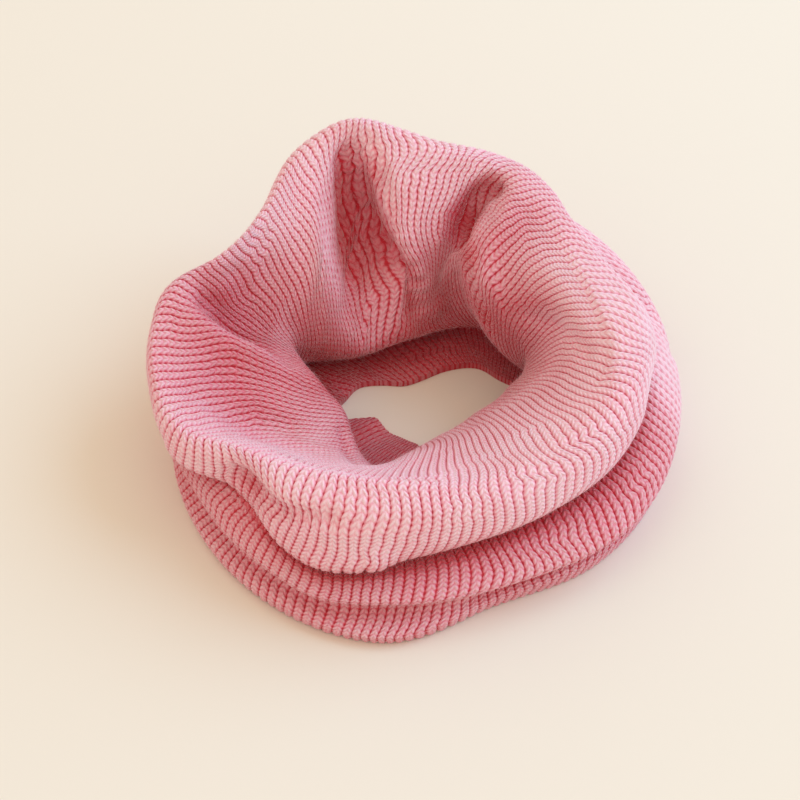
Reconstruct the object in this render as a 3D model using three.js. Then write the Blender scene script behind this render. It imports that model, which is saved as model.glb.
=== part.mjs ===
import * as THREE from 'three';

// A slumped rib-knit tube: sizes in millimetres, turns in degrees round the ring, ribs counted from the front
const RIBS = 128;
const RIB_RAISE = 1.2;
const CROWDED_RAISE = 0.3;
const PLAIN_WALL = 2.6;
const SEAM_GAP = 0.3;
const FLOOR_SNAP = 1.2;
const RING_CENTRE = [3.05, -1.17];
const COLUMNS_PER_RIB = 2;
const PINK = 0xd98296;

// Heights that are the same all round
const HEM_LIFT = 0.4;
const BAND_LIFT = 7;
const UNDER_LIFT = 11;
const TURN_LIFT = 6;
const FLOOR_LIFT = 4;

// Outer wall: hem on the table, belly over the hem band, tuck under the upper roll
const OUTER_COLUMNS = ['rib', 'hemTurn', 'hemReach', 'bellyReach', 'bellyLift', 'tuckReach', 'tuckLift'];
const OUTER = [
  [0, 262, 127, 120, 22, 99, 29],
  [8, 286, 111, 115, 22, 88, 33],
  [18, 315, 116, 124, 24, 96, 38],
  [28, 342, 121, 127, 28, 98, 46],
  [38, 9, 124, 133, 34, 100, 54],
  [48, 37, 126, 136, 46, 104, 60],
  [58, 66, 127, 130, 48, 110, 64],
  [70, 99, 128, 130, 42, 118, 62],
  [82, 132, 128, 128, 36, 112, 52],
  [94, 165, 127, 129, 30, 118, 43],
  [104, 191, 125, 127, 26, 120, 40],
  [111, 211, 125, 122, 24, 110, 40],
  [116, 225, 126, 122, 23, 101, 39],
  [120, 237, 127, 123, 22, 107, 34],
  [124, 250, 128, 124, 20, 109, 27],
];

// Upper roll and rim
const UPPER_COLUMNS = ['rib', 'rollTurn', 'rollReach', 'rollLift', 'rimTurn', 'rimReach', 'rimLift'];
const UPPER = [
  [0, 264, 106, 43, 263, 88, 66],
  [5, 284, 101, 47, 283, 89, 64],
  [10, 308, 102, 50, 305, 90, 67],
  [15, 328, 107, 55, 325, 96, 73],
  [21, 350, 110, 62, 349, 94, 81],
  [26, 8, 111, 66, 11, 87, 86],
  [29, 22, 102, 71, 27, 86, 90],
  [32, 38, 101, 75, 42, 91, 93],
  [36, 51, 109, 82, 56, 99, 96],
  [40, 62, 115, 86, 66, 105, 98],
  [43, 72, 116, 88, 73, 103, 101],
  [48, 87, 117, 90, 85, 103, 104],
  [52, 95, 121, 95, 96, 111, 107],
  [56, 101, 127, 97, 102, 117, 109],
  [60, 105, 130, 98, 106, 120, 109.5],
  [64, 109, 133, 97, 110, 123, 107],
  [70, 120, 131, 89, 120, 122, 99],
  [78, 137, 112, 80, 136, 107, 90],
  [88, 154, 115, 72, 155, 110, 80],
  [94, 165, 133, 62, 163, 124, 75],
  [100, 174, 135, 54, 172, 129, 69],
  [106, 187, 133, 50, 187, 128, 64],
  [113, 206, 127, 47, 204, 120, 60],
  [118, 221, 108, 50, 216, 104, 62],
  [122, 236, 113, 43, 233, 96, 64],
  [125.5, 249, 112, 39, 247, 91, 65],
];

// Inner drape: its middle, then the rounded fold that hangs into the opening
const MIDDLE_COLUMNS = ['rib', 'midTurn', 'midReach', 'midLift', 'foldTurn', 'foldReach', 'foldLift'];
const MIDDLE = [
  [0, 263, 68, 54, 259, 34, 24],
  [5, 288, 67, 56, 290, 24, 25],
  [10, 311, 65, 58, 338, 26, 25],
  [15, 331, 70, 62, 7, 40, 25],
  [21, 350, 76, 70, 18, 52, 27],
  [26, 6, 73, 79, 26, 57, 34],
  [29, 20, 69, 84, 32, 53, 46],
  [32, 38, 69, 88, 43, 46, 60],
  [34.5, 50, 73, 91, 58, 47, 70],
  [36.5, 58, 77, 92, 71, 56, 78],
  [38.5, 65, 85, 88, 74, 62, 69],
  [41, 71, 91, 82, 79, 64, 53],
  [44, 79, 84, 82, 83, 61, 38],
  [47, 85, 76, 81, 87, 56, 29],
  [50, 91, 73, 81, 91, 52, 25],
  [52, 96, 74, 81, 94, 50, 24],
  [55, 101, 80, 79, 101, 48, 24],
  [58, 106, 99, 64, 112, 46, 24],
  [62, 112, 103, 58, 126, 46, 24],
  [66, 119, 92, 68, 136, 50, 24],
  [70, 127, 86, 76, 142, 57, 24],
  [74, 133, 87, 73, 144.6, 64, 25],
  [78, 140, 90, 67, 146.9, 70.4, 26],
  [82, 146, 95, 60, 149.6, 74.2, 26],
  [86, 153, 100, 53, 153.1, 73, 26],
  [90, 158, 104, 47, 156.5, 67.6, 27],
  [94, 163, 104, 46, 161, 61.4, 28],
  [99, 172, 93, 58, 169, 54, 30],
  [106, 186, 97, 49, 190, 40, 28],
  [113, 202, 90, 42, 214, 41, 26],
  [119, 220, 78, 45, 236, 47, 25],
  [124, 243, 70, 50, 251, 48, 24],
];

// Inner hem: where the cloth turns back under the fold, then its edge on the table
const INNER_COLUMNS = ['rib', 'underTurn', 'underReach', 'innerTurn', 'innerReach'];
const INNER = [
  [0, 268, 55, 285, 38],
  [5, 290, 52, 303, 36],
  [10, 315, 53, 323, 38],
  [16, 338, 62, 342, 48],
  [21, 355, 69, 355, 55],
  [26, 8, 73, 5, 59],
  [32, 25, 74, 17, 60],
  [36, 37, 76, 25, 60],
  [40, 48, 77, 33, 58],
  [44, 59, 77, 43, 55],
  [50, 76, 76, 59, 54],
  [55, 92, 74, 74, 46],
  [59, 107, 74, 90, 37.5],
  [63, 121, 76, 108, 35],
  [66, 132, 78, 122, 40],
  [69, 142, 82, 136, 46],
  [72, 150, 85, 150, 46],
  [80, 163, 88, 162, 52],
  [84, 169, 88, 167.5, 54],
  [87, 174, 87, 171.5, 52.5],
  [90, 180, 85, 173, 48],
  [94, 187, 81, 171, 42],
  [98, 195, 76, 165, 32],
  [101, 202, 73, 162, 24],
  [104, 209, 70, 188, 16],
  [107, 217, 68, 208, 11.5],
  [111, 227, 66, 255, 10],
  [118, 246, 60, 274, 32],
];

// The nodes, by profile row on the ribbed face and on the plain side behind it
const NODES = [
  { name: 'outer_hem_band', ribbed: [0, 1, 2], plain: [0, 2] },
  { name: 'lower_wall', ribbed: [2, 3], plain: [2, 3] },
  { name: 'lower_roll', ribbed: [3, 4, 5], plain: [3, 5] },
  { name: 'upper_roll', ribbed: [5, 6, 7, 8, 9, 10], plain: [5, 7, 9, 10] },
  { name: 'inner_drape', ribbed: [10, 11, 12, 13, 14, 15], plain: [10, 11, 12, 13, 15] },
  { name: 'inner_hem_band', ribbed: [15, 16, 17, 18, 19], plain: [15, 16, 17, 18, 19] },
];

const FULL_TURN = 360;

function mix(a, b, t) {
  return a + (b - a) * t;
}

// A smooth curve through values at uneven knots, closed round the ribs
function closedCurve(ribs, values, turn) {
  const count = ribs.length;
  const knot = (i) => ribs[((i % count) + count) % count] + RIBS * Math.floor(i / count);
  const value = (i) => values[((i % count) + count) % count] + turn * Math.floor(i / count);
  const slope = (i) => {
    const before = knot(i) - knot(i - 1);
    const after = knot(i + 1) - knot(i);
    const rise = (value(i) - value(i - 1)) / before;
    const next = (value(i + 1) - value(i)) / after;
    return (rise * after + next * before) / (before + after);
  };
  return (rib) => {
    let i = -1;
    while (knot(i + 1) <= rib) {
      i += 1;
    }
    const span = knot(i + 1) - knot(i);
    const t = (rib - knot(i)) / span;
    return hermite(value(i), slope(i) * span, value(i + 1), slope(i + 1) * span, t);
  };
}

function hermite(from, fromSlope, to, toSlope, t) {
  const t2 = t * t;
  const t3 = t2 * t;
  return (2 * t3 - 3 * t2 + 1) * from + (t3 - 2 * t2 + t) * fromSlope
    + (3 * t2 - 2 * t3) * to + (t3 - t2) * toSlope;
}

// The columns of a table as curves; turns are carried on past a full turn
function tableCurves(columns, rows) {
  const ribs = rows.map((row) => row[0]);
  const curves = {};
  columns.slice(1).forEach((name, index) => {
    const values = rows.map((row) => row[index + 1]);
    const isTurn = name.endsWith('Turn');
    if (isTurn) {
      for (let i = 1; i < values.length; i += 1) {
        values[i] += FULL_TURN * Math.round((values[i - 1] - values[i]) / FULL_TURN);
      }
    }
    curves[name] = closedCurve(ribs, values, isTurn ? FULL_TURN : 0);
  });
  return curves;
}

const CURVES = {
  ...tableCurves(OUTER_COLUMNS, OUTER),
  ...tableCurves(UPPER_COLUMNS, UPPER),
  ...tableCurves(MIDDLE_COLUMNS, MIDDLE),
  ...tableCurves(INNER_COLUMNS, INNER),
};

function ringPoint(turn, reach, lift) {
  const angle = THREE.MathUtils.degToRad(turn);
  return new THREE.Vector3(
    RING_CENTRE[0] + reach * Math.cos(angle),
    RING_CENTRE[1] + reach * Math.sin(angle),
    lift,
  );
}

function between(a, b, share, lift) {
  const point = a.clone().lerp(b, share);
  point.z = lift;
  return point;
}

// The control points of one rib's profile, from the outer hem to the inner one
function profile(rib) {
  const s = {};
  Object.entries(CURVES).forEach(([name, curve]) => {
    s[name] = curve(rib);
  });
  const near = (turn) => turn + FULL_TURN * Math.round((s.rimTurn - turn) / FULL_TURN);
  const hemTurn = near(s.hemTurn);
  const rollTurn = near(s.rollTurn);
  const roll = ringPoint(rollTurn, s.rollReach, s.rollLift);
  const rim = ringPoint(s.rimTurn, s.rimReach, s.rimLift);
  const mid = ringPoint(s.midTurn, s.midReach, s.midLift);
  const fold = ringPoint(s.foldTurn, s.foldReach, s.foldLift);
  const under = ringPoint(s.underTurn, s.underReach, UNDER_LIFT);
  const inner = ringPoint(s.innerTurn, s.innerReach, FLOOR_LIFT);
  const outer = (share, reach, lift) => ringPoint(mix(hemTurn, rollTurn, share), reach, lift);
  return [
    outer(0, s.hemReach, HEM_LIFT),
    outer(0.06, s.hemReach + 1.5, BAND_LIFT),
    outer(0.15, Math.min(s.hemReach, s.bellyReach) - 3.5, 0.6 * s.bellyLift),
    outer(0.3, s.bellyReach, s.bellyLift),
    outer(0.45, mix(s.bellyReach, s.tuckReach, 0.5), mix(s.bellyLift, s.tuckLift, 0.85)),
    outer(0.6, s.tuckReach, s.tuckLift),
    outer(0.8, mix(s.tuckReach, s.rollReach, 0.72), mix(s.tuckLift, s.rollLift, 0.3)),
    roll,
    between(roll, rim, 0.42, mix(s.rollLift, s.rimLift, 0.82)),
    rim,
    between(rim, mid, 0.5, mix(s.rimLift, s.midLift, 0.36)),
    mid,
    between(mid, fold, 0.66, mix(s.midLift, s.foldLift, 0.5)),
    fold,
    between(fold, under, 0.12, mix(s.foldLift, UNDER_LIFT, 0.55)),
    between(fold, under, 0.5, mix(s.foldLift, UNDER_LIFT, 0.88)),
    under,
    between(under, inner, 0.02, TURN_LIFT),
    between(under, inner, 0.35, FLOOR_LIFT),
    inner,
  ];
}

// All the profiles, with the mean length of cloth between their control rows
const COLUMN_COUNT = RIBS * COLUMNS_PER_RIB;
const PROFILES = [];
for (let column = 0; column < COLUMN_COUNT; column += 1) {
  PROFILES.push(profile(column / COLUMNS_PER_RIB));
}
const LAST_ROW = PROFILES[0].length - 1;
const SPANS = [];
for (let row = 0; row < LAST_ROW; row += 1) {
  const total = PROFILES.reduce((sum, points) => sum + points[row].distanceTo(points[row + 1]), 0);
  SPANS.push(total / COLUMN_COUNT);
}

function rowSlope(points, row) {
  if (row === 0) {
    return points[1].clone().sub(points[0]).divideScalar(SPANS[0]);
  }
  if (row === LAST_ROW) {
    return points[row].clone().sub(points[row - 1]).divideScalar(SPANS[row - 1]);
  }
  const before = SPANS[row - 1];
  const after = SPANS[row];
  const rise = points[row].clone().sub(points[row - 1]).multiplyScalar(after / before);
  const next = points[row + 1].clone().sub(points[row]).multiplyScalar(before / after);
  return rise.add(next).divideScalar(before + after);
}

// The ribbed face at a column and a place along the profile, given as a row number with a fraction
function facePoint(column, place) {
  const points = PROFILES[((column % COLUMN_COUNT) + COLUMN_COUNT) % COLUMN_COUNT];
  const row = Math.min(Math.max(Math.floor(place), 0), LAST_ROW - 1);
  const t = place - row;
  const from = rowSlope(points, row).multiplyScalar(SPANS[row]);
  const to = rowSlope(points, row + 1).multiplyScalar(SPANS[row]);
  const curve = (axis) => hermite(points[row][axis], from[axis], points[row + 1][axis], to[axis], t);
  return new THREE.Vector3(curve('x'), curve('y'), curve('z'));
}

const NORMAL_STEP = 0.05;

// A point on a crest, in a groove or on the plain side, moved square to the ring by a shift.
// Grooves are shallower where ribs crowd together, and the cloth lies flat where it rests
function wallPoint(column, place, side, shift) {
  const low = Math.max(place - NORMAL_STEP, 0);
  const high = Math.min(place + NORMAL_STEP, LAST_ROW);
  const along = facePoint(column, high).sub(facePoint(column, low)).normalize();
  const round = facePoint(column + 1, place).sub(facePoint(column - 1, place));
  const normal = round.clone().cross(along);
  const groove = Math.min(RIB_RAISE, CROWDED_RAISE * normal.length());
  const depth = { crest: 0, groove, plain: RIB_RAISE + PLAIN_WALL }[side];
  normal.normalize();
  const across = normal.clone().cross(round).normalize();
  const point = facePoint(column, place).addScaledVector(normal, -depth).addScaledVector(across, shift);
  if (place === 0 || (point.z < FLOOR_SNAP && side === 'plain')) {
    point.z = 0;
  }
  return point;
}

// Joins two rings of like step, each four points split along the shorter diagonal
function weave(indices, positions, lower, upper) {
  const point = (index) => new THREE.Vector3().fromArray(positions, 3 * index);
  for (let column = 0; column < COLUMN_COUNT; column += lower.step) {
    const next = (column + lower.step) % COLUMN_COUNT;
    const a = lower.start + column / lower.step;
    const b = lower.start + next / lower.step;
    const c = upper.start + next / upper.step;
    const d = upper.start + column / upper.step;
    if (point(a).distanceTo(point(c)) < point(b).distanceTo(point(d))) {
      indices.push(a, b, c, a, c, d);
    } else {
      indices.push(a, b, d, b, c, d);
    }
  }
}

// Joins two rings with unlike steps; a ring's step is how many columns lie between its points
function bridge(indices, lower, upper) {
  const count = (ring) => COLUMN_COUNT / ring.step;
  const middle = (ring, k) => (k + 0.5) * ring.step;
  const index = (ring, k) => ring.start + (k % count(ring));
  let i = 0;
  let j = 0;
  while (i < count(lower) || j < count(upper)) {
    const lowerNext = i < count(lower) ? middle(lower, i) : Infinity;
    const upperNext = j < count(upper) ? middle(upper, j) : Infinity;
    if (lowerNext < upperNext) {
      indices.push(index(lower, i), index(lower, i + 1), index(upper, j));
      i += 1;
    } else {
      indices.push(index(lower, i), index(upper, j + 1), index(upper, j));
      j += 1;
    }
  }
}

// One stretch of the tube as a closed wall: ribs raised on its face, its other side plain
function stretch(ribbed, plain) {
  const positions = [];
  const rings = [];
  const addRing = (place, step, sides) => {
    rings.push({ start: positions.length / 3, step });
    let shift = 0;
    if (place === ribbed[0] && place > 0) {
      shift = SEAM_GAP / 2;
    }
    if (place === ribbed[ribbed.length - 1] && place < LAST_ROW) {
      shift = -SEAM_GAP / 2;
    }
    for (let column = 0; column < COLUMN_COUNT; column += step) {
      const side = sides[column % sides.length];
      positions.push(...wallPoint(column, place, side, shift).toArray());
    }
  };
  ribbed.forEach((place) => {
    addRing(place, 1, ['crest', 'groove']);
  });
  plain.slice().reverse().forEach((place) => {
    addRing(place, COLUMNS_PER_RIB, ['plain']);
  });
  const indices = [];
  rings.forEach((ring, index) => {
    const next = rings[(index + 1) % rings.length];
    if (ring.step === next.step) {
      weave(indices, positions, ring, next);
    } else {
      bridge(indices, ring, next);
    }
  });
  const geometry = new THREE.BufferGeometry();
  geometry.setAttribute('position', new THREE.Float32BufferAttribute(positions, 3));
  geometry.setIndex(indices);
  return geometry;
}

const cowl = new THREE.Group();
NODES.forEach(({ name, ribbed, plain }) => {
  const material = new THREE.MeshStandardMaterial({ color: PINK, roughness: 0.95, metalness: 0 });
  const mesh = new THREE.Mesh(stretch(ribbed, plain), material);
  mesh.name = name;
  cowl.add(mesh);
});

export default cowl;
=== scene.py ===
import math

import bpy
import numpy as np
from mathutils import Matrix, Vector
from mathutils.bvhtree import BVHTree


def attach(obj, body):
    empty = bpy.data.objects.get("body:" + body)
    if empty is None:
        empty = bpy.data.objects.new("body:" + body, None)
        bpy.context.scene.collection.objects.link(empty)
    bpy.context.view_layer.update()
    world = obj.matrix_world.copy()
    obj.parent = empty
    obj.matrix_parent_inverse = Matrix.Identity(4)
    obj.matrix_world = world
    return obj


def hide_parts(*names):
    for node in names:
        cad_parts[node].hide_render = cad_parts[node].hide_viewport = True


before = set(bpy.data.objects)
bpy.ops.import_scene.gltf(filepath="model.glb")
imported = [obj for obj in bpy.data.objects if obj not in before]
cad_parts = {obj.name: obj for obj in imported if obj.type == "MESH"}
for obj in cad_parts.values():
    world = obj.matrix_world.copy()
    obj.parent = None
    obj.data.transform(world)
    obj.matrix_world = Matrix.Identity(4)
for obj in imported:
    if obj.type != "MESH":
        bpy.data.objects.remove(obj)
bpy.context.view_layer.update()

# The slumped tube: sizes in millimetres, turns in degrees round the ring, ribs counted from the front
RIBS = 128
RING_CENTRE = (3.05, -1.17)
PLAIN_WALL = 2.6
RIB_RAISE = 1.2
HEM_LIFT = 0.4
BAND_LIFT = 7
UNDER_LIFT = 11
TURN_LIFT = 6
FLOOR_LIFT = 4
MM = 0.001

# Outer wall: hem on the table, belly over the hem band, tuck under the upper roll
OUTER_COLUMNS = ("rib", "hem_turn", "hem_reach", "belly_reach", "belly_lift", "tuck_reach", "tuck_lift")
OUTER = [
    (0, 262, 127, 120, 22, 99, 29),
    (8, 286, 111, 115, 22, 88, 33),
    (18, 315, 116, 124, 24, 96, 38),
    (28, 342, 121, 127, 28, 98, 46),
    (38, 9, 124, 133, 34, 100, 54),
    (48, 37, 126, 136, 46, 104, 60),
    (58, 66, 127, 130, 48, 110, 64),
    (70, 99, 128, 130, 42, 118, 62),
    (82, 132, 128, 128, 36, 112, 52),
    (94, 165, 127, 129, 30, 118, 43),
    (104, 191, 125, 127, 26, 120, 40),
    (111, 211, 125, 122, 24, 110, 40),
    (116, 225, 126, 122, 23, 101, 39),
    (120, 237, 127, 123, 22, 107, 34),
    (124, 250, 128, 124, 20, 109, 27),
]

# Upper roll and rim
UPPER_COLUMNS = ("rib", "roll_turn", "roll_reach", "roll_lift", "rim_turn", "rim_reach", "rim_lift")
UPPER = [
    (0, 264, 106, 43, 263, 88, 66),
    (5, 284, 101, 47, 283, 89, 64),
    (10, 308, 102, 50, 305, 90, 67),
    (15, 328, 107, 55, 325, 96, 73),
    (21, 350, 110, 62, 349, 94, 81),
    (26, 8, 111, 66, 11, 87, 86),
    (29, 22, 102, 71, 27, 86, 90),
    (32, 38, 101, 75, 42, 91, 93),
    (36, 51, 109, 82, 56, 99, 96),
    (40, 62, 115, 86, 66, 105, 98),
    (43, 72, 116, 88, 73, 103, 101),
    (48, 87, 117, 90, 85, 103, 104),
    (52, 95, 121, 95, 96, 111, 107),
    (56, 101, 127, 97, 102, 117, 109),
    (60, 105, 130, 98, 106, 120, 109.5),
    (64, 109, 133, 97, 110, 123, 107),
    (70, 120, 131, 89, 120, 122, 99),
    (78, 137, 112, 80, 136, 107, 90),
    (88, 154, 115, 72, 155, 110, 80),
    (94, 165, 133, 62, 163, 124, 75),
    (100, 174, 135, 54, 172, 129, 69),
    (106, 187, 133, 50, 187, 128, 64),
    (113, 206, 127, 47, 204, 120, 60),
    (118, 221, 108, 50, 216, 104, 62),
    (122, 236, 113, 43, 233, 96, 64),
    (125.5, 249, 112, 39, 247, 91, 65),
]

# Inner drape: its middle, then the rounded fold that hangs into the opening
MIDDLE_COLUMNS = ("rib", "mid_turn", "mid_reach", "mid_lift", "fold_turn", "fold_reach", "fold_lift")
MIDDLE = [
    (0, 263, 68, 54, 259, 34, 24),
    (5, 288, 67, 56, 290, 24, 25),
    (10, 311, 65, 58, 338, 26, 25),
    (15, 331, 70, 62, 7, 40, 25),
    (21, 350, 76, 70, 18, 52, 27),
    (26, 6, 73, 79, 26, 57, 34),
    (29, 20, 69, 84, 32, 53, 46),
    (32, 38, 69, 88, 43, 46, 60),
    (34.5, 50, 73, 91, 58, 47, 70),
    (36.5, 58, 77, 92, 71, 56, 78),
    (38.5, 65, 85, 88, 74, 62, 69),
    (41, 71, 91, 82, 79, 64, 53),
    (44, 79, 84, 82, 83, 61, 38),
    (47, 85, 76, 81, 87, 56, 29),
    (50, 91, 73, 81, 91, 52, 25),
    (52, 96, 74, 81, 94, 50, 24),
    (55, 101, 80, 79, 101, 48, 24),
    (58, 106, 99, 64, 112, 46, 24),
    (62, 112, 103, 58, 126, 46, 24),
    (66, 119, 92, 68, 136, 50, 24),
    (70, 127, 86, 76, 142, 57, 24),
    (74, 133, 87, 73, 144.6, 64, 25),
    (78, 140, 90, 67, 146.9, 70.4, 26),
    (82, 146, 95, 60, 149.6, 74.2, 26),
    (86, 153, 100, 53, 153.1, 73, 26),
    (90, 158, 104, 47, 156.5, 67.6, 27),
    (94, 163, 104, 46, 161, 61.4, 28),
    (99, 172, 93, 58, 169, 54, 30),
    (106, 186, 97, 49, 190, 40, 28),
    (113, 202, 90, 42, 214, 41, 26),
    (119, 220, 78, 45, 236, 47, 25),
    (124, 243, 70, 50, 251, 48, 24),
]

# Inner hem: where the cloth turns back under the fold, then its edge on the table
INNER_COLUMNS = ("rib", "under_turn", "under_reach", "inner_turn", "inner_reach")
INNER = [
    (0, 268, 55, 285, 38),
    (5, 290, 52, 303, 36),
    (10, 315, 53, 323, 38),
    (16, 338, 62, 342, 48),
    (21, 355, 69, 355, 55),
    (26, 8, 73, 5, 59),
    (32, 25, 74, 17, 60),
    (36, 37, 76, 25, 60),
    (40, 48, 77, 33, 58),
    (44, 59, 77, 43, 55),
    (50, 76, 76, 59, 54),
    (55, 92, 74, 74, 46),
    (59, 107, 74, 90, 37.5),
    (63, 121, 76, 108, 35),
    (66, 132, 78, 122, 40),
    (69, 142, 82, 136, 46),
    (72, 150, 85, 150, 46),
    (80, 163, 88, 162, 52),
    (84, 169, 88, 167.5, 54),
    (87, 174, 87, 171.5, 52.5),
    (90, 180, 85, 173, 48),
    (94, 187, 81, 171, 42),
    (98, 195, 76, 165, 32),
    (101, 202, 73, 162, 24),
    (104, 209, 70, 188, 16),
    (107, 217, 68, 208, 11.5),
    (111, 227, 66, 255, 10),
    (118, 246, 60, 274, 32),
]

# Bands of cloth: name, the CAD node each stands for, first and last control row, mesh rows per stitch
BANDS = [
    ("hem_band", "outer_hem_band", 0, 2, 4),
    ("lower_wall", "lower_wall", 2, 3, 4),
    ("belly", "lower_roll", 3, 5, 4),
    ("roll", "upper_roll", 5, 7.5, 4),
    ("rim", "upper_roll", 7.5, 10, 4),
    ("drape_top", "inner_drape", 10, 11.75, 4),
    ("drape_fold", "inner_drape", 11.75, 15, 4),
    ("inner_hem", "inner_hem_band", 15, 19, 2),
]
LAST_ROW = BANDS[-1][3]

# Knit: ribs round the tube, mesh columns to a rib, and millimetres to a stitch and to a relaxed rib
KNIT_RIBS = 152
COLUMNS_PER_RIB = 6
STITCH = 2.8
COLUMNS = KNIT_RIBS * COLUMNS_PER_RIB
COLUMN_RIBS = np.arange(COLUMNS) / COLUMNS_PER_RIB

# How nearly evenly the ribs lie along these control rows taken together, where row 7 counts twice
EVENNESS = 0.9
EVEN_ROWS = (7, 7, 3, 9)
SAMPLES_PER_TABLE_RIB = 4

# Points splined between two control rows, and mesh rows of the face to one of the plain side
ROW_STEPS = 48
BACK_STEP = 6

# Relief of the knit in millimetres: grooves between ribs, the two legs of each stitch, pinholes between legs
GROOVE_DEPTH = 1.5
LEG_DEPTH = 0.24
LEG_PATCHY = 0.2
LEG_UNEVEN = 0.08
PINHOLE_DEPTH = 0.35
FULL_ROOM_PITCH = 4.2
ROOM_LIMITS = (0.15, 1)
FACE_FLOOR = 0.15

# Shape of the relief, as parts of a rib, of a stitch or of a depth
GROOVE_POWER = 3.2
GROOVE_PATCHY = 0.3
BRIDGE = 0.25
SLANT = 0.72
SLIP = 0.16
LEG_FADE = 0.5
PINHOLE_WIDTH = 0.22
PINHOLE_ALWAYS = 0.4
PATCH_GAIN = 1.6
PATCH_START = 0.4

# Sideways wander of the ribs and their short jogs, as parts of a rib, calm near the outer hem in millimetres
WANDER = 0.3
JOG = 0.14
JOG_START = 0.25
CALM_HEM = 12
RIPPLE_PEAK = 1.6

# How much of each row's own even spacing its ribs take, and the mesh rows that this is smoothed over
EVEN_EACH_ROW = 0.5
EVEN_BLUR = 41
SPREAD_LIMITS = (0.3, 1.7)

# How open the cloth is to the light, by rays from a coarse copy: steps of its rows and columns, how far off
# the cloth a ray starts and how far it reaches in millimetres, how many rays, and what the table counts
OPEN_STEP = (6, 6)
OPEN_START = 1.5
OPEN_REACH = 90
OPEN_RAYS = 48
OPEN_TO_TABLE = 0.6

# Painted shade on the knit, from 0 to 1, which turns it a deeper red, and painted light below 0, which turns
# it paler.
# The folds take painted shade by how little open they are.
# The amounts by control row, and in places by rib, row, millimetres round them and amount, are set to
# follow the photo's shades
OPEN_PLAIN = 0.95
RECESS_PAINTED_SHADE = 1.05
SHADE_AND_LIGHT_LIMITS = (-0.6, 1)
# Painted shade by control row
ROW_PAINTED_SHADE = [
    (0, 0.22),
    (2, 0.25),
    (3, 0.3),
    (4, 0.5),
    (5, 0.5),
    (6, 0.12),
    (7, 0),
    (9, 0),
    (11, 0.05),
    (15, 0.3),
    (19, 0.35),
]
# Painted shade in places, and painted light where the amount is below nothing
PLACE_PAINTED_SHADE_AND_LIGHT = [
    (104, 11, 36, 0.5),
    (96, 10, 24, 0.25),
    (34, 11, 26, 0.4),
    (58, 11.5, 26, 0.15),
    (116, 16, 22, 0.15),
    (100, 13.2, 15, 0.6),
    (41.6, 11.4, 9, 0.4),
    (36, 13, 9, 0.5),
    (33.5, 13.5, 9, 0.3),
    (118.5, 7.1, 9, 0.4),
    (32, 3.4, 34, -0.8),
    (44, 3.4, 30, -0.55),
    (24, 7, 30, -0.3),
    (28, 9.5, 30, -0.3),
    (10, 8.5, 30, -0.2),
    (52, 8.6, 24, -0.12),
]

# Creases, each from a start past a middle to an end, given by rib and control row of the tables:
# how wide it is and how deep, in millimetres, and a ridge where the depth is below nothing
CREASE_COLUMNS = ("start_rib", "start_row", "mid_rib", "mid_row", "end_rib", "end_row", "width", "depth")
CREASES = [
    (62.5, 9.9, 57.7, 11.2, 51.6, 12.5, 7.5, 5.5),
    (57, 11.4, 54.5, 12.1, 49, 13, 6, 2.0),
    (63.3, 10.4, 63.7, 11.2, 64.5, 12.1, 10, 2.5),
    (58.2, 9.9, 54.2, 11.2, 45, 13.2, 6, -2.4),
    (39.8, 10.4, 41.6, 11.5, 36, 13.1, 4.5, 5.5),
    (41.4, 9.6, 44.4, 10.4, 45.6, 11.5, 5, -2.4),
    (37, 10, 36.6, 11, 34.2, 12.2, 5, -1.2),
    (93.8, 10.2, 93, 11, 99.8, 11.9, 6, 2.6),
    (99, 9.9, 100.2, 10.7, 102.1, 12.4, 6, -1.5),
    (117.2, 7.1, 120.4, 7.35, 125, 7.8, 5, 5.0),
    (117, 5.6, 122, 6.2, 127, 6.6, 9, -4.0),
    (28, 12.2, 25.5, 11.6, 22, 10.9, 5, 2.4),
    (112.6, 12.6, 118, 12.3, 122, 11.8, 3, 1.8),
    (8, 8.2, 12, 8.7, 18, 9.2, 7, 1.2),
    (108, 10, 110, 10.7, 112, 11.6, 6, 1.8),
    (86.5, 10.2, 86, 10.8, 87, 11.6, 6, 1.8),
    (60, 6.6, 66, 5.6, 74, 4.6, 7, 2.6),
    (82, 3.2, 88, 4.2, 96, 4.6, 6, 2.0),
    (98, 6.7, 104, 6.4, 110, 6.6, 7, 1.8),
    (34, 3.1, 40, 4.0, 47, 4.4, 7, 2.2),
    (20, 6.9, 26, 6.4, 33, 6.0, 6, 1.6),
    (70, 1.4, 76, 2.4, 82, 2.8, 5, 1.4),
]
CREASE_STEPS = 14
# Control rows to each side of a crease's path that it can move, so that it leaves the next layer alone
CREASE_REACH = 1.6

# Tips of folds eased, as listed: rib and control row, millimetres round it, and how many times it is eased.
# Each time, the cloth takes a share of its neighbours' place, and a share under the least is left out
EASED = [(36, 12.4, 13, 220)]
EASE_SHARE = 0.9
EASE_LEAST = 0.01

# Yarn from its pale colour to the deep red of painted shade and random mottle, and the painted shade colour
# of closed folds, with the settings of its surface
YARN_PALE = (0.94, 0.68, 0.78, 1)
YARN_MIDDLE = (0.90, 0.38, 0.50, 1)
YARN_DEEP = (0.62, 0.05, 0.08, 1)
YARN_RECESS_SHADE = (0.55, 0.02, 0.035, 1)
PALE_AT, MIDDLE_AT, DEEP_AT = 0.05, 0.42, 0.95
YARN_SURFACE = {
    "Roughness": 0.9,
    "Specular IOR Level": 0.2,
    "Sheen Weight": 0.75,
    "Sheen Roughness": 0.4,
    "Sheen Tint": (1.0, 0.88, 0.95, 1.0),
}

# Noises in the yarn: scale and detail of each, and streaks to a rib and to a stitch
SPECK = (1100.0, 3.0)
CLOUD = (55.0, 3.0)
STREAK = (1.0, 2.0)
STREAKS_PER_RIB = 5.0
STREAKS_PER_STITCH = 2.2

# Legs of the V in the shader: how ragged, how round, and where their lobes lie across half a rib
LEG_RAGGED = 0.45
LEG_ROUND = 0.6
LOBE_MIDDLE = 0.46
LOBE_WIDTH = 0.56
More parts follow.
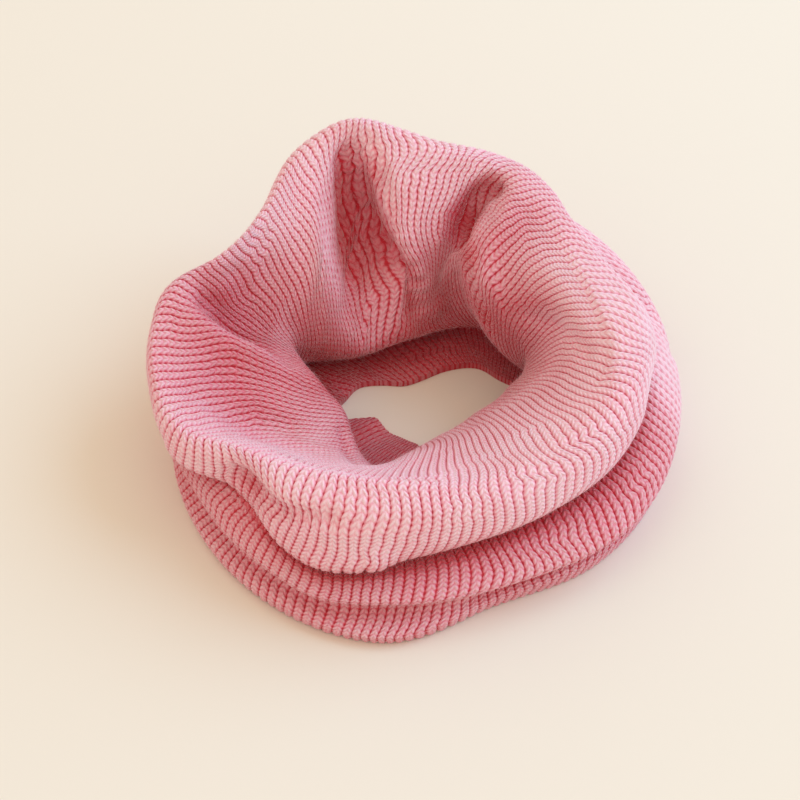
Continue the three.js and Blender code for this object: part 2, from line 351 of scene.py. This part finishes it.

# How much each part deepens the yarn, painted shade in the groove and between the legs and random tone in the
# specks and clouds, and how the painted shade and light of a place add to it
GROOVE_SHADE = 0.7
GROOVE_SHADE_BY_WAVE = -0.24
GROOVE_SHADE_POWER = 4.0
LEG_SHADE = 0.3
SPECK_TONE = 0.7
CLOUD_TONE = 0.3
CONTRAST = 0.9
CONTRAST_BY_SHADE = 0.9
RECESS_BY_SHADE = 0.85

# Bump of the legs' twist: noises in it, its strength, and its depth in metres
SPECK_BUMP = 0.3
STREAK_BUMP = 0.3
BUMP_STRENGTH = 0.8
BUMP_DISTANCE = 0.0005

# Fuzz: fine fibres that stand out of the knit, in millimetres, and how far they lean
FIBRES = 80000
FIBRE_LENGTH = (0.7, 2.4)
FIBRE_WIDTH = 0.06
FIBRE_LEAN = 0.75
FIBRE_FLOOR = 0.3
FIBRE_SURFACE = {"Base Color": (0.90, 0.60, 0.68, 1), "Roughness": 0.8}

# Table, light and camera, in metres. The light's place is a guess from the photo's shading
TABLE_HALF = 3
TABLE_SURFACE = {"Base Color": (0.85, 0.81, 0.74, 1), "Roughness": 0.95, "Specular IOR Level": 0.1}
WORLD_LIGHT = {"Color": (1.0, 0.84, 0.66, 1), "Strength": 0.95}
LIGHT_AIM = (0, 0, 0.04)
WINDOW_PLACE = (2.5, 0.8, 1.95)
WINDOW_SIZE = 3.2
WINDOW_POWER = 82.0
WINDOW_COLOUR = (0.36, 0.64, 0.94)
CAMERA_TARGET = (-0.95 * MM, -13.17 * MM, 40 * MM)
CAMERA_DISTANCE = 0.755
CAMERA_TILT = math.radians(48)
CAMERA_LENS = 70
CAMERA_SENSOR = 36
CAMERA_SHIFT = -0.01875
CAMERA_NEAR = 0.01


def closed_curve(ribs, values, turn, at):
    """A smooth curve through values at uneven knots, closed round the ribs, read at many ribs."""
    knots = np.concatenate([ribs[-2:] - RIBS, ribs, ribs[:3] + RIBS])
    y = np.concatenate([values[-2:] - turn, values, values[:3] + turn])
    span = np.diff(knots)
    rise = np.diff(y) / span
    slope = np.zeros_like(y)
    slope[1:-1] = (rise[:-1] * span[1:] + rise[1:] * span[:-1]) / (span[1:] + span[:-1])
    i = np.searchsorted(knots, at, side="right") - 1
    t = (at - knots[i]) / span[i]
    return hermite(y[i], slope[i] * span[i], y[i + 1], slope[i + 1] * span[i], t)


def hermite(start, start_slope, end, end_slope, t):
    t2, t3 = t * t, t * t * t
    return ((2 * t3 - 3 * t2 + 1) * start + (t3 - 2 * t2 + t) * start_slope
            + (3 * t2 - 2 * t3) * end + (t3 - t2) * end_slope)


def read_table(columns, rows, at):
    """Each named column of a table as smooth values at the given ribs."""
    ribs = np.array([row[0] for row in rows], float)
    out = {}
    for index, name in enumerate(columns[1:], 1):
        values = np.array([row[index] for row in rows], float)
        is_turn = name.endswith("turn")
        if is_turn:
            values = np.degrees(np.unwrap(np.radians(values)))
        out[name] = closed_curve(ribs, values, 360.0 if is_turn else 0.0, at)
    return out


def mix(a, b, t):
    return a + (b - a) * t


def ring_point(turn, reach, lift):
    angle = np.radians(turn)
    x = RING_CENTRE[0] + reach * np.cos(angle)
    y = RING_CENTRE[1] + reach * np.sin(angle)
    return np.stack([x, y, lift + 0 * x], -1)


def between(a, b, share, lift):
    point = mix(a, b, share)
    point[..., 2] = lift
    return point


def profiles(at):
    """Control points of the profile at each rib, from the outer hem to the inner one. Those between the
    tables' own lines take given shares of the two lines beside them."""
    s = {}
    outside = ((OUTER_COLUMNS, OUTER), (UPPER_COLUMNS, UPPER))
    inside = ((MIDDLE_COLUMNS, MIDDLE), (INNER_COLUMNS, INNER))
    for columns, rows in outside + inside:
        s.update(read_table(columns, rows, at))

    def near(turn):
        return turn + 360 * np.round((s["rim_turn"] - turn) / 360)

    def outer(share, reach, lift):
        return ring_point(mix(hem_turn, roll_turn, share), reach, lift)

    hem_turn, roll_turn = near(s["hem_turn"]), near(s["roll_turn"])
    roll = ring_point(roll_turn, s["roll_reach"], s["roll_lift"])
    rim = ring_point(s["rim_turn"], s["rim_reach"], s["rim_lift"])
    mid = ring_point(s["mid_turn"], s["mid_reach"], s["mid_lift"])
    fold = ring_point(s["fold_turn"], s["fold_reach"], s["fold_lift"])
    under = ring_point(s["under_turn"], s["under_reach"], UNDER_LIFT)
    inner = ring_point(s["inner_turn"], s["inner_reach"], FLOOR_LIFT)
    hem, belly, tuck = s["hem_reach"], s["belly_reach"], s["tuck_reach"]
    return np.array([
        outer(0, hem, HEM_LIFT),
        outer(0.06, hem + 1.5, BAND_LIFT),
        outer(0.15, np.minimum(hem, belly) - 3.5, 0.6 * s["belly_lift"]),
        outer(0.3, belly, s["belly_lift"]),
        outer(0.45, mix(belly, tuck, 0.5), mix(s["belly_lift"], s["tuck_lift"], 0.85)),
        outer(0.6, tuck, s["tuck_lift"]),
        outer(0.8, mix(tuck, s["roll_reach"], 0.72), mix(s["tuck_lift"], s["roll_lift"], 0.3)),
        roll,
        between(roll, rim, 0.42, mix(s["roll_lift"], s["rim_lift"], 0.82)),
        rim,
        between(rim, mid, 0.5, mix(s["rim_lift"], s["mid_lift"], 0.36)),
        mid,
        between(mid, fold, 0.66, mix(s["mid_lift"], s["fold_lift"], 0.5)),
        fold,
        between(fold, under, 0.12, mix(s["fold_lift"], UNDER_LIFT, 0.55)),
        between(fold, under, 0.5, mix(s["fold_lift"], UNDER_LIFT, 0.88)),
        under,
        between(under, inner, 0.02, TURN_LIFT),
        between(under, inner, 0.35, FLOOR_LIFT),
        inner,
    ])


def fine_rows(points, steps):
    """The profile splined between its control rows: row numbers with a fraction, and the points."""
    spans = np.linalg.norm(np.diff(points, axis=0), axis=2).mean(1)
    rise = np.diff(points, axis=0) / spans[:, None, None]
    before, after = spans[:-1, None, None], spans[1:, None, None]
    slope = np.empty_like(points)
    slope[1:-1] = (rise[:-1] * after + rise[1:] * before) / (before + after)
    slope[0], slope[-1] = rise[0], rise[-1]
    rows, out = [], []
    for row in range(len(spans)):
        for step in range(steps):
            t = step / steps
            rows.append(row + t)
            out.append(hermite(points[row], slope[row] * spans[row], points[row + 1],
                               slope[row + 1] * spans[row], t))
    rows.append(len(spans))
    out.append(points[-1])
    return np.array(rows), np.array(out)


def ripples(seed, count, rib_waves, cloth_waves):
    """A smooth uneven field over the cloth, closed round the ribs, about -1 to 1."""
    rng = np.random.default_rng(seed)
    terms = []
    for _ in range(count):
        waves = rng.integers(rib_waves[0], rib_waves[1] + 1)
        length = rng.uniform(*cloth_waves)
        terms.append((waves, 2 * math.pi / length * rng.choice((-1, 1)), rng.uniform(0, 2 * math.pi)))

    def field(rib, cloth):
        total = 0
        for waves, rate, phase in terms:
            total = total + np.sin(2 * math.pi * waves * rib / KNIT_RIBS + rate * cloth + phase)
        return total * math.sqrt(2 / count) / RIPPLE_PEAK

    return field


def even_ribs():
    """Where the knitted ribs lie on the tables' ribs, so that they are nearly even along the outer rows."""
    table_ribs = np.arange(RIBS * SAMPLES_PER_TABLE_RIB + 1) / SAMPLES_PER_TABLE_RIB
    outer_rows = profiles(table_ribs)[list(EVEN_ROWS)]
    steps = np.linalg.norm(np.diff(outer_rows, axis=1), axis=2).mean(0)
    arc = np.concatenate([[0], np.cumsum(steps)]) / steps.sum()
    share = mix(table_ribs / RIBS, arc, EVENNESS)
    return np.interp(COLUMN_RIBS / KNIT_RIBS, share, table_ribs)


TABLE_RIBS = even_ribs()
ROW_NUMBERS, ROW_POINTS = fine_rows(profiles(TABLE_RIBS), ROW_STEPS)
ROW_CLOTH = np.concatenate([np.zeros((1, COLUMNS)),
                            np.cumsum(np.linalg.norm(np.diff(ROW_POINTS, axis=0), axis=2), axis=0)])


def row_index(row):
    """The splined row at a control row, with a little room for its rounding."""
    return int(np.searchsorted(ROW_NUMBERS, row - 1e-6))


def cloth_at(row):
    """Cloth length from the outer hem to a control row, on each column."""
    return ROW_CLOTH[row_index(row)]


def cloth_point(rib, row):
    """The point of the smooth cloth at a rib and control row of the tables."""
    return ROW_POINTS[row_index(row), int(np.argmin(np.abs(TABLE_RIBS - rib)))]


# The smooth cloth: columns round the ring, and stitches even in cloth length within each band
bands = []
row_cloth = [np.zeros(COLUMNS)]
row_stitch = [0.0]
for name, node, first, last, per_stitch in BANDS:
    low, high = cloth_at(first), cloth_at(last)
    length = float((high - low).mean())
    stitches = round(length / STITCH)
    count = stitches * per_stitch
    start = len(row_cloth) - 1
    first_stitch = row_stitch[-1]
    for step in range(1, count + 1):
        row_cloth.append(mix(low, high, step / count))
        row_stitch.append(first_stitch + step / per_stitch)
    bands.append((name, node, start, start + count, length))
row_cloth = np.array(row_cloth)
stitch = np.repeat(np.array(row_stitch)[:, None], COLUMNS, 1)
smooth = np.empty(row_cloth.shape + (3,))
for column in range(COLUMNS):
    for axis in range(3):
        knots = ROW_CLOTH[:, column], ROW_POINTS[:, column, axis]
        smooth[:, column, axis] = np.interp(row_cloth[:, column], *knots)


def surface_frame(points):
    """Unit normals out of the ribbed face, and the pitch of the ribs across their run."""
    across = np.roll(points, -1, axis=1) - np.roll(points, 1, axis=1)
    along = np.gradient(points, axis=0)
    along /= np.maximum(np.linalg.norm(along, axis=2, keepdims=True), 1e-9)
    normal = np.cross(across, along)
    size = np.linalg.norm(normal, axis=2)
    return normal / np.maximum(size, 1e-9)[..., None], size * COLUMNS_PER_RIB / 2


def crease_path(crease):
    """A soft bend through the start, middle and end of a crease, over the smooth cloth, and its rows."""
    ribs_at = crease["start_rib"], crease["mid_rib"], crease["end_rib"]
    rows_at = crease["start_row"], crease["mid_row"], crease["end_row"]
    path = []
    for t in np.linspace(0, 1, CREASE_STEPS):
        weights = ((1 - t) * (1 - 2 * t), 4 * t * (1 - t), t * (2 * t - 1))
        rib = sum(w * value for w, value in zip(weights, ribs_at))
        row = sum(w * value for w, value in zip(weights, rows_at))
        path.append((cloth_point(rib, row), row))
    return path


crease_depth = np.zeros(smooth.shape[:2])
for values in CREASES:
    crease = dict(zip(CREASE_COLUMNS, values))
    nearest = np.full(smooth.shape[:2], np.inf)
    for point, row in crease_path(crease):
        low, high = cloth_at(max(row - CREASE_REACH, 0)), cloth_at(min(row + CREASE_REACH, LAST_ROW))
        same_layer = (row_cloth >= low) & (row_cloth <= high)
        nearest = np.minimum(nearest, np.where(same_layer, ((smooth - point) ** 2).sum(-1), np.inf))
    crease_depth += crease["depth"] * np.exp(-nearest / crease["width"] ** 2)
smooth_normals, _ = surface_frame(smooth)
smooth = smooth - smooth_normals * crease_depth[..., None]


def eased(points, rib, row, radius, times):
    """The cloth drawn towards its neighbours within a radius of one place."""
    weight = EASE_SHARE * np.exp(-((points - cloth_point(rib, row)) ** 2).sum(-1) / radius ** 2)
    near_rows, near_columns = np.nonzero(weight > EASE_LEAST)
    rows = slice(max(near_rows.min(), 1), min(near_rows.max(), len(points) - 2) + 1)
    columns = slice(near_columns.min(), near_columns.max() + 1)
    share = weight[rows, columns, None]
    for _ in range(times):
        part = points[rows.start - 1:rows.stop + 1, columns.start - 1:columns.stop + 1]
        around = (part[:-2, 1:-1] + part[2:, 1:-1] + part[1:-1, :-2] + part[1:-1, 2:]) / 4
        points[rows, columns] = mix(part[1:-1, 1:-1], around, share)
    return points


for place in EASED:
    smooth = eased(smooth, *place)
smooth_normals, smooth_pitch = surface_frame(smooth)


def strips(ids, flip):
    """Quads between rings of vertices."""
    right = np.roll(ids, -1, axis=1)
    quads = np.stack([ids[:-1], right[:-1], right[1:], ids[1:]], -1).reshape(-1, 4)
    return quads[:, ::-1] if flip else quads


# Ribs wander from side to side together with their neighbours, with a short jog here and there
wander = ripples(seed=3, count=16, rib_waves=(3, 8), cloth_waves=(24, 75))
jog = ripples(seed=5, count=16, rib_waves=(3, 11), cloth_waves=(8, 16))
jog_place = ripples(seed=7, count=10, rib_waves=(4, 14), cloth_waves=(18, 50))
ribs = np.broadcast_to(COLUMN_RIBS, row_cloth.shape)
calm = np.clip(row_cloth / CALM_HEM, 0, 1)
jogs = np.clip(jog_place(ribs, row_cloth) + JOG_START, 0, 1)
drift = calm * (WANDER * wander(ribs, row_cloth) + JOG * jogs * jog(ribs, row_cloth))


def even_drift():
    """How far each row's ribs shift to lie evenly along that row, smoothed from row to row."""
    steps = np.linalg.norm(np.roll(smooth, -1, axis=1) - smooth, axis=2)
    shifts = []
    for row in steps:
        arc = np.concatenate([[0], np.cumsum(row)]) / row.sum() * KNIT_RIBS
        even_at = np.interp(COLUMN_RIBS, arc, np.append(COLUMN_RIBS, KNIT_RIBS))
        shifts.append(even_at - COLUMN_RIBS - (even_at - COLUMN_RIBS).mean())
    shifts = np.array(shifts)
    blur = np.hanning(EVEN_BLUR)
    blur = blur / blur.sum()
    padded = np.pad(shifts, ((EVEN_BLUR // 2, EVEN_BLUR // 2), (0, 0)), mode="edge")
    return np.array([np.convolve(line, blur, mode="valid") for line in padded.T]).T[:len(shifts)]


drift = drift + EVEN_EACH_ROW * even_drift()
wrapped_ribs = np.concatenate([COLUMN_RIBS - KNIT_RIBS, COLUMN_RIBS, COLUMN_RIBS + KNIT_RIBS])


def drifted(field):
    """A field over the smooth cloth, read where the wandering columns now lie."""
    out = np.empty_like(field)
    for row in range(len(field)):
        line = np.tile(field[row], 3)
        out[row] = np.interp(COLUMN_RIBS + drift[row], wrapped_ribs, line)
    return out


grid = np.stack([drifted(smooth[..., axis]) for axis in range(3)], -1)
normals = np.stack([drifted(smooth_normals[..., axis]) for axis in range(3)], -1)
normals /= np.linalg.norm(normals, axis=2, keepdims=True)
spread = 1 + (np.roll(drift, -1, axis=1) - np.roll(drift, 1, axis=1)) * COLUMNS_PER_RIB / 2
pitch = drifted(smooth_pitch) * np.clip(spread, *SPREAD_LIMITS)


def openness():
    """Share of rays that leave the cloth freely, over the whole grid: folds and recesses are less open."""
    step_row, step_column = OPEN_STEP
    rows = np.unique(np.concatenate([np.arange(0, len(smooth), step_row), [len(smooth) - 1]]))
    columns = np.arange(0, COLUMNS, step_column)
    points = smooth[rows][:, columns]
    outward = smooth_normals[rows][:, columns]
    ids = np.arange(points.shape[0] * points.shape[1]).reshape(points.shape[:2])
    tree = BVHTree.FromPolygons(points.reshape(-1, 3).tolist(), strips(ids, False).tolist())
    rng = np.random.default_rng(23)
    aims = rng.normal(size=(OPEN_RAYS, 3))
    aims /= np.linalg.norm(aims, axis=1, keepdims=True)
    open_share = np.zeros(points.shape[:2])
    for index in np.ndindex(*open_share.shape):
        normal = outward[index]
        start = Vector(points[index] + normal * OPEN_START)
        free = 0
        for aim in aims:
            way = aim + normal
            hit = tree.ray_cast(start, Vector(way), OPEN_REACH)
            below = way[2] < 0 and start.z + way[2] / np.linalg.norm(way) * OPEN_REACH < 0
            free += 0.0 if hit[0] is not None else (OPEN_TO_TABLE if below else 1.0)
        open_share[index] = free / OPEN_RAYS
    around = np.concatenate([open_share, open_share[:, :1]], axis=1)
    every_column, closed = COLUMN_RIBS * COLUMNS_PER_RIB, np.append(columns, COLUMNS)
    wide = np.array([np.interp(every_column, closed, line) for line in around])
    every_row = np.arange(len(smooth))
    return np.array([np.interp(every_row, rows, wide[:, column]) for column in range(COLUMNS)]).T


# Relief of the knit: round ribs, narrow grooves, two legs of a V in each stitch, pinholes between them
patch = ripples(seed=11, count=12, rib_waves=(5, 16), cloth_waves=(22, 70))
uneven = ripples(seed=17, count=16, rib_waves=(30, 64), cloth_waves=(4, 9))
slip = ripples(seed=19, count=14, rib_waves=(10, 40), cloth_waves=(12, 40))
offset = np.abs((ribs + 0.5) % 1 - 0.5) * 2
knit_stitch = stitch + SLIP * slip(ribs, row_cloth)
loop = 0.5 + 0.5 * np.cos(2 * math.pi * (knit_stitch + SLANT * offset))
patches = np.clip(patch(ribs, row_cloth) * PATCH_GAIN - PATCH_START, 0, 1)
room = np.clip(pitch / FULL_ROOM_PITCH, *ROOM_LIMITS)
groove = (1 - GROOVE_PATCHY * patches) * GROOVE_DEPTH * offset ** GROOVE_POWER * (1 - BRIDGE * loop)
leg_depth = LEG_DEPTH + LEG_PATCHY * patches + LEG_UNEVEN * uneven(ribs, row_cloth)
legs = leg_depth * (1 - loop) * (1 - LEG_FADE * offset ** 2)
hole_shape = np.exp(-(offset / PINHOLE_WIDTH) ** 2)
pinholes = PINHOLE_DEPTH * hole_shape * (PINHOLE_ALWAYS + (1 - PINHOLE_ALWAYS) * (1 - loop))
depth = (groove + legs + pinholes) * room
face = grid - normals * depth[..., None]
face[..., 2] = np.maximum(face[..., 2], FACE_FLOOR)

# Plain side of the wall, coarser
back = grid - normals * (RIB_RAISE + PLAIN_WALL)
back[..., 2] = np.maximum(back[..., 2], 0.0)
face_normals, _ = surface_frame(face)


def painted_shade_and_light():
    """Painted shade and light on the knit: more painted shade where folds close over it, and painted shade
    and light by the tables.
    """
    shade_and_light = np.clip(OPEN_PLAIN - openness(), 0, 1) * RECESS_PAINTED_SHADE
    rows, amounts = zip(*ROW_PAINTED_SHADE)
    cloth_rows = np.array([cloth_at(row).mean() for row in rows])
    shade_and_light = shade_and_light + np.interp(row_cloth.mean(1), cloth_rows, amounts)[:, None]
    for rib, row, radius, amount in PLACE_PAINTED_SHADE_AND_LIGHT:
        shade_and_light = shade_and_light + amount * np.exp(-((grid - cloth_point(rib, row)) ** 2).sum(-1) / radius ** 2)
    return np.clip(shade_and_light, *SHADE_AND_LIGHT_LIMITS)


painted_shade_and_light_field = painted_shade_and_light()


def wall_ids(rows, coarse_rows):
    """Vertex numbers of the fine face and of the plain side behind it."""
    fine = np.arange(len(rows) * COLUMNS).reshape(len(rows), COLUMNS)
    plain = fine.size + np.arange(len(coarse_rows) * KNIT_RIBS).reshape(len(coarse_rows), KNIT_RIBS)
    return fine, plain


def end_faces(fine_ring, plain_ring, flip):
    """Fans that close the wall between a ring of the face and the ring behind it."""
    half = COLUMNS_PER_RIB // 2
    tris = []
    for rib in range(KNIT_RIBS):
        here, there = plain_ring[rib], plain_ring[(rib + 1) % KNIT_RIBS]
        ring = [fine_ring[(rib * COLUMNS_PER_RIB + k) % COLUMNS] for k in range(COLUMNS_PER_RIB + 1)]
        tris += [(ring[k + 1], ring[k], here if k < half else there) for k in range(COLUMNS_PER_RIB)]
        tris.append((ring[half], here, there))
    return [tri[::-1] if flip else tri for tri in tris]


def on_wall(fine, plain, rows, coarse_rows):
    """Values at a band's vertices: the whole of its face, then each rib of its plain side."""
    shape = (-1,) + fine.shape[2:]
    coarse = plain[coarse_rows][:, ::COLUMNS_PER_RIB]
    return np.concatenate([fine[rows].reshape(shape), coarse.reshape(shape)])


def mesh_values(items, name, kind, width=1):
    """One property of all the loops or polygons of a mesh."""
    values = np.empty(len(items) * width, kind)
    items.foreach_get(name, values)
    return values


def add_knit_map(mesh, rib_at, stitch_at, corner, totals):
    """Rib and stitch numbers as the map of the cloth, unbroken where the last rib meets the first."""
    starts = np.concatenate([[0], np.cumsum(totals)[:-1]])
    rib_corner = rib_at[corner]
    widest = np.repeat(np.maximum.reduceat(rib_corner, starts), totals)
    rib_corner = np.where(widest - rib_corner > KNIT_RIBS / 2, rib_corner + KNIT_RIBS, rib_corner)
    places = np.stack([rib_corner, stitch_at[corner]], -1).astype(np.float32)
    mesh.uv_layers.new(name="knit").data.foreach_set("uv", places.reshape(-1))


def set_normals(mesh, normal_at, corner, totals, sides):
    """Smooth normals on the face and plain side, and flat ones on the closed ends after them."""
    corner_normal = normal_at[corner]
    flat = mesh_values(mesh.polygons, "normal", np.float32, 3).reshape(-1, 3)
    is_cap = np.repeat(np.arange(len(mesh.polygons)) >= sides, totals)
    corner_normal[is_cap] = np.repeat(flat, totals, axis=0)[is_cap]
    mesh.normals_split_custom_set(corner_normal.tolist())


def add_object(name, data):
    thing = bpy.data.objects.new(name, data)
    bpy.context.scene.collection.objects.link(thing)
    return thing


def band_mesh(name, start, end):
    """One band as a closed wall: fine ribbed face, plain coarse side, both ends closed."""
    rows = np.arange(start, end + 1)
    coarse_rows = np.unique(np.concatenate([np.arange(start, end, BACK_STEP), [end]]))
    fine_ids, plain_ids = wall_ids(rows, coarse_rows)
    points = on_wall(face, back, rows, coarse_rows) * MM
    faces = np.concatenate([strips(fine_ids, False), strips(plain_ids, True)]).tolist()
    sides = len(faces)
    faces += end_faces(fine_ids[0].tolist(), plain_ids[0].tolist(), False)
    faces += end_faces(fine_ids[-1].tolist(), plain_ids[-1].tolist(), True)
    mesh = bpy.data.meshes.new(name)
    mesh.from_pydata(points.tolist(), [], faces)
    mesh.polygons.foreach_set("use_smooth", [True] * len(mesh.polygons))
    corner = mesh_values(mesh.loops, "vertex_index", np.int32)
    totals = mesh_values(mesh.polygons, "loop_total", np.int32)
    rib_at = on_wall(ribs, ribs, rows, coarse_rows)
    stitch_at = on_wall(knit_stitch, knit_stitch, rows, coarse_rows)
    add_knit_map(mesh, rib_at, stitch_at, corner, totals)
    # Painted shade and light, kept on the points for the yarn's colour
    shade = mesh.attributes.new("painted_shade_and_light", "FLOAT", "POINT")
    painted_shade_and_light_at = on_wall(painted_shade_and_light_field, painted_shade_and_light_field, rows, coarse_rows)
    shade.data.foreach_set("value", painted_shade_and_light_at.astype(np.float32))
    set_normals(mesh, on_wall(face_normals, -normals, rows, coarse_rows), corner, totals, sides)
    return add_object(name, mesh)


def new_material(name, surface):
    """A material whose surface has the given settings."""
    material = bpy.data.materials.new(name)
    material.use_nodes = True
    shader = material.node_tree.nodes["Principled BSDF"]
    for setting, value in surface.items():
        shader.inputs[setting].default_value = value
    return material


def yarn_material():
    """Pale pink yarn with a soft sheen, painted shade in deep red in the grooves, pinholes, between the legs
    and in closed folds, and painted light that makes it paler in places.
    """
    material = new_material("pink_rib_knit", YARN_SURFACE)
    nodes, links = material.node_tree.nodes, material.node_tree.links
    shader = nodes["Principled BSDF"]

    def calc(kind, a, b=None, c=None, clamp=False):
        node = nodes.new("ShaderNodeMath")
        node.operation = kind
        node.use_clamp = clamp
        for socket, value in zip(node.inputs, (a, b, c)):
            if isinstance(value, (int, float)):
                socket.default_value = value
            elif value is not None:
                links.new(value, socket)
        return node.outputs[0]

    def noise(vector, scale, detail):
        node = nodes.new("ShaderNodeTexNoise")
        node.inputs["Scale"].default_value = scale
        node.inputs["Detail"].default_value = detail
        links.new(vector, node.inputs["Vector"])
        return node.outputs["Fac"]

    knit_map = nodes.new("ShaderNodeUVMap")
    knit_map.uv_map = "knit"
    split = nodes.new("ShaderNodeSeparateXYZ")
    links.new(knit_map.outputs[0], split.inputs[0])
    rib, row = split.outputs[0], split.outputs[1]
    place = nodes.new("ShaderNodeTexCoord").outputs["Object"]
    speck = noise(place, *SPECK)
    cloud = noise(place, *CLOUD)
    strand = nodes.new("ShaderNodeCombineXYZ")
    links.new(calc("MULTIPLY", rib, STREAKS_PER_RIB), strand.inputs[0])
    links.new(calc("MULTIPLY", row, STREAKS_PER_STITCH), strand.inputs[1])
    streak = noise(strand.outputs[0], *STREAK)

    # Legs of the V stitches: two lobes to a rib, one loop to a stitch
    side = calc("SUBTRACT", calc("FRACT", calc("ADD", rib, 0.5)), 0.5)
    away = calc("MULTIPLY", calc("ABSOLUTE", side), 2.0)
    ragged = calc("MULTIPLY_ADD", calc("SUBTRACT", streak, 0.5), LEG_RAGGED, row)
    wave = calc("COSINE", calc("MULTIPLY", calc("MULTIPLY_ADD", away, SLANT, ragged), 2 * math.pi))
    loop_height = calc("POWER", calc("MULTIPLY_ADD", wave, 0.5, 0.5), LEG_ROUND)
    lobe = calc("DIVIDE", calc("SUBTRACT", away, LOBE_MIDDLE), LOBE_WIDTH)
    leg = calc("MULTIPLY", calc("SUBTRACT", 1.0, calc("MULTIPLY", lobe, lobe), clamp=True), loop_height)

    # Painted shade deepens the yarn in the groove and between the legs, random mottle and clouds vary its
    # tone, and the painted shade of a place strengthens all of it while its painted light weakens it
    in_groove = calc("MULTIPLY_ADD", wave, GROOVE_SHADE_BY_WAVE, GROOVE_SHADE)
    off_leg = calc("MULTIPLY", calc("SUBTRACT", 1.0, leg), LEG_SHADE)
    hollow = calc("MULTIPLY_ADD", calc("POWER", away, GROOVE_SHADE_POWER), in_groove, off_leg)
    mottle = calc("MULTIPLY", calc("SUBTRACT", speck, 0.5), SPECK_TONE)
    clouding = calc("MULTIPLY", calc("SUBTRACT", cloud, 0.5), CLOUD_TONE)
    attribute = nodes.new("ShaderNodeAttribute")
    attribute.attribute_name = "painted_shade_and_light"
    shade_and_light = attribute.outputs["Fac"]
    contrast = calc("MULTIPLY_ADD", shade_and_light, CONTRAST_BY_SHADE, CONTRAST)
    level = calc("MULTIPLY", calc("ADD", calc("ADD", hollow, mottle), clouding), contrast)
    # Painted shade of closed folds: how far the yarn goes to its recess shade colour
    closed = calc("MULTIPLY", shade_and_light, RECESS_BY_SHADE, clamp=True)

    ramp = nodes.new("ShaderNodeValToRGB")
    low, high = ramp.color_ramp.elements
    low.position, low.color = PALE_AT, YARN_PALE
    high.position, high.color = DEEP_AT, YARN_DEEP
    middle = ramp.color_ramp.elements.new(MIDDLE_AT)
    middle.color = YARN_MIDDLE
    links.new(level, ramp.inputs["Fac"])
    recess = nodes.new("ShaderNodeMix")
    recess.data_type = "RGBA"
    links.new(closed, recess.inputs[0])
    links.new(ramp.outputs["Color"], recess.inputs[6])
    recess.inputs[7].default_value = YARN_RECESS_SHADE
    links.new(recess.outputs[2], shader.inputs["Base Color"])

    twist = calc("MULTIPLY_ADD", speck, SPECK_BUMP, calc("MULTIPLY", streak, STREAK_BUMP))
    bump = nodes.new("ShaderNodeBump")
    bump.inputs["Strength"].default_value = BUMP_STRENGTH
    bump.inputs["Distance"].default_value = BUMP_DISTANCE
    links.new(calc("ADD", leg, twist), bump.inputs["Height"])
    links.new(bump.outputs["Normal"], shader.inputs["Normal"])
    return material


knit = yarn_material()
for name, node, start, end, length in bands:
    piece = band_mesh("cowl_" + name, start, end)
    piece.data.materials.append(knit)
    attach(piece, "root")
    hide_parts(node)


def fuzz_mesh():
    """All the fibres as slim triangles rooted on the ribbed face."""
    rng = np.random.default_rng(31)
    row = rng.integers(0, len(face) - 1, FIBRES)
    column = rng.integers(0, COLUMNS, FIBRES)
    to_next = face[row, (column + 1) % COLUMNS] - face[row, column]
    root = face[row, column] + to_next * rng.random((FIBRES, 1))
    lean = rng.normal(size=(FIBRES, 3))
    way = face_normals[row, column] + FIBRE_LEAN * lean / np.linalg.norm(lean, axis=1, keepdims=True)
    way /= np.linalg.norm(way, axis=1, keepdims=True)
    side = np.cross(way, rng.normal(size=(FIBRES, 3)))
    side *= FIBRE_WIDTH / 2 / np.linalg.norm(side, axis=1, keepdims=True)
    tip = root + way * rng.uniform(*FIBRE_LENGTH, (FIBRES, 1))
    tip[:, 2] = np.maximum(tip[:, 2], FIBRE_FLOOR)
    points = np.stack([root - side, root + side, tip], 1).reshape(-1, 3) * MM
    mesh = bpy.data.meshes.new("cowl_fuzz")
    mesh.from_pydata(points.tolist(), [], np.arange(3 * FIBRES).reshape(-1, 3).tolist())
    return mesh


fuzz = add_object("cowl_fuzz", fuzz_mesh())
fuzz.data.materials.append(new_material("pink_fibre", FIBRE_SURFACE))
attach(fuzz, "root")

# Table, light and camera
far = TABLE_HALF
floor_mesh = bpy.data.meshes.new("floor")
floor_mesh.from_pydata([(-far, -far, 0), (far, -far, 0), (far, far, 0), (-far, far, 0)], [], [(0, 1, 2, 3)])
floor = add_object("floor", floor_mesh)
floor_mesh.materials.append(new_material("pale_paper", TABLE_SURFACE))

world = bpy.data.worlds.new("studio")
bpy.context.scene.world = world
world.use_nodes = True
for setting, value in WORLD_LIGHT.items():
    world.node_tree.nodes["Background"].inputs[setting].default_value = value


def soft_light(name, place, size, power, colour):
    light = bpy.data.lights.new(name, "AREA")
    light.shape = "DISK"
    light.size = size
    light.energy = power
    light.color = colour
    lamp = add_object(name, light)
    lamp.location = place
    lamp.rotation_euler = (Vector(LIGHT_AIM) - Vector(place)).to_track_quat("-Z", "Y").to_euler()


soft_light("window", WINDOW_PLACE, WINDOW_SIZE, WINDOW_POWER, WINDOW_COLOUR)
bpy.context.scene.view_settings.view_transform = "Standard"

camera_data = bpy.data.cameras.new("camera")
camera_data.lens = CAMERA_LENS
camera_data.sensor_width = CAMERA_SENSOR
camera_data.shift_x = CAMERA_SHIFT
camera_data.clip_start = CAMERA_NEAR
camera = add_object("camera", camera_data)
look = Vector((0, math.cos(CAMERA_TILT), -math.sin(CAMERA_TILT)))
camera.location = Vector(CAMERA_TARGET) - look * CAMERA_DISTANCE
camera.rotation_euler = look.to_track_quat("-Z", "Y").to_euler()
bpy.context.scene.camera = camera
